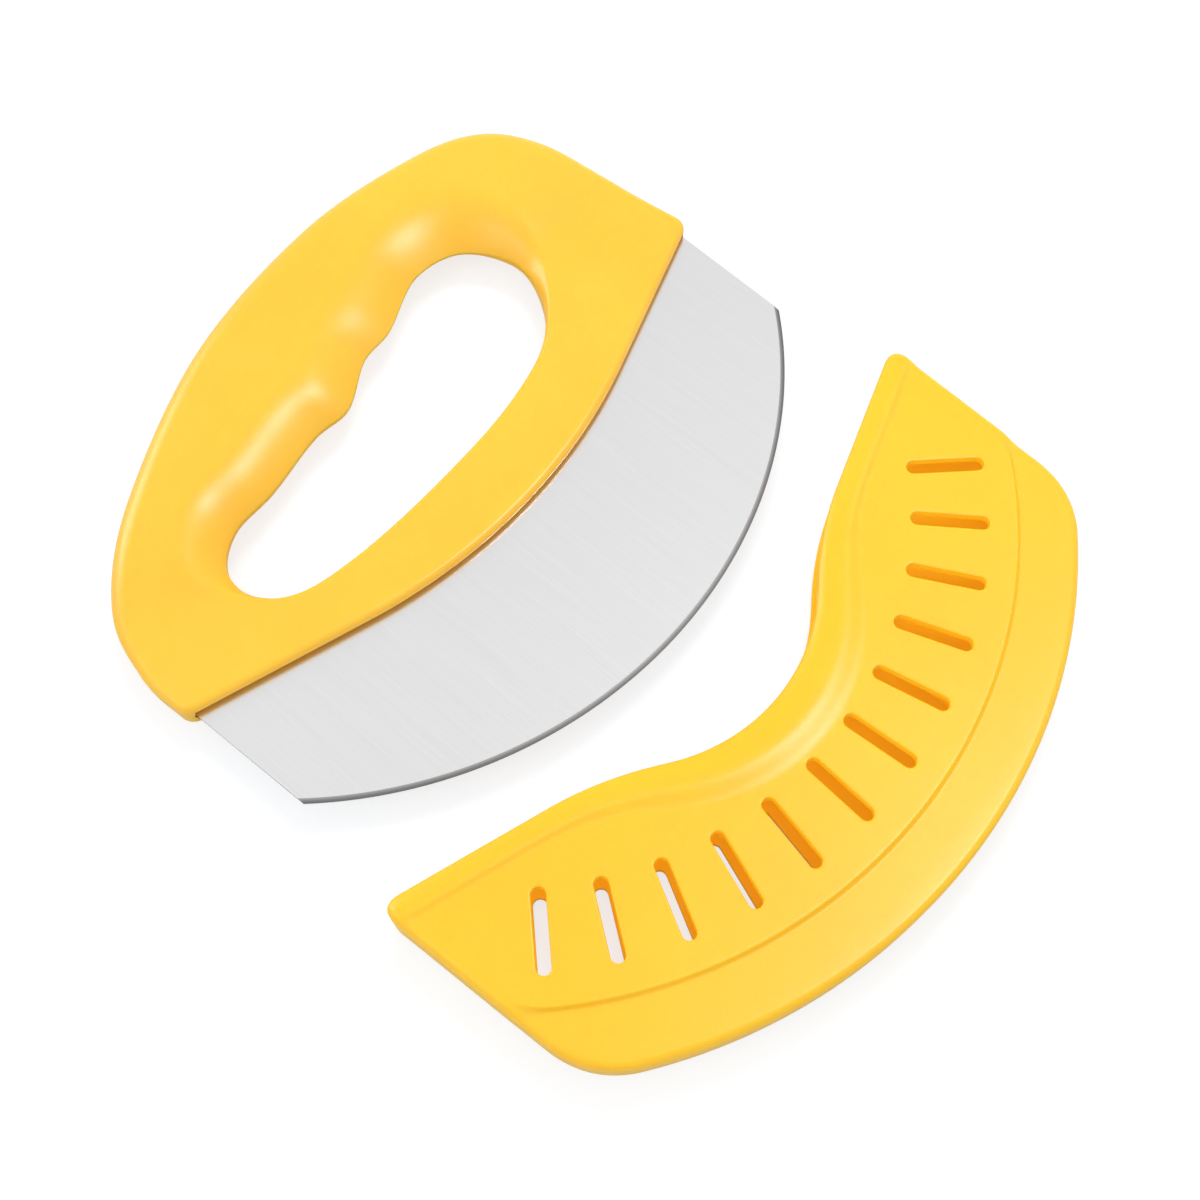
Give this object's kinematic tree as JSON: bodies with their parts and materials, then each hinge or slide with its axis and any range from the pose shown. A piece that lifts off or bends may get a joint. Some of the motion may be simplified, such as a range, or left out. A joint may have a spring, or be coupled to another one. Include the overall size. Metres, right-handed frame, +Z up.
{
  "type": "rocking pizza cutter with blade guard",
  "caption": "Rocking pizza cutter: a curved steel blade in a D-shaped plastic handle with finger grooves, beside its slotted slip-on blade guard.",
  "frame": {"origin": "on the surface that the cutter lies on, under the middle of the box round the cutter and its guard", "axes": "+Z up out of the front face, +Y from the blade towards the grip, +X towards the index finger's end"},
  "size_m": [0.168, 0.2072, 0.015],
  "materials": {
    "handle_plastic": "satin moulded, warm yellow",
    "guard_plastic": "satin moulded, lemon yellow",
    "blade_steel": "fine brushed across the blade, ground edge"
  },
  "bodies": {
    "cutter": {"handle_front_shell": "handle_plastic", "handle_rear_shell": "handle_plastic", "blade": "blade_steel"},
    "guard": {"blade_guard": "guard_plastic"}
  },
  "joints": [
    {"name": "guard_slide", "type": "slide", "parent": "cutter", "child": "guard", "axis": [0, 1, 0], "range_m": [0, 0.072]}
  ]
}
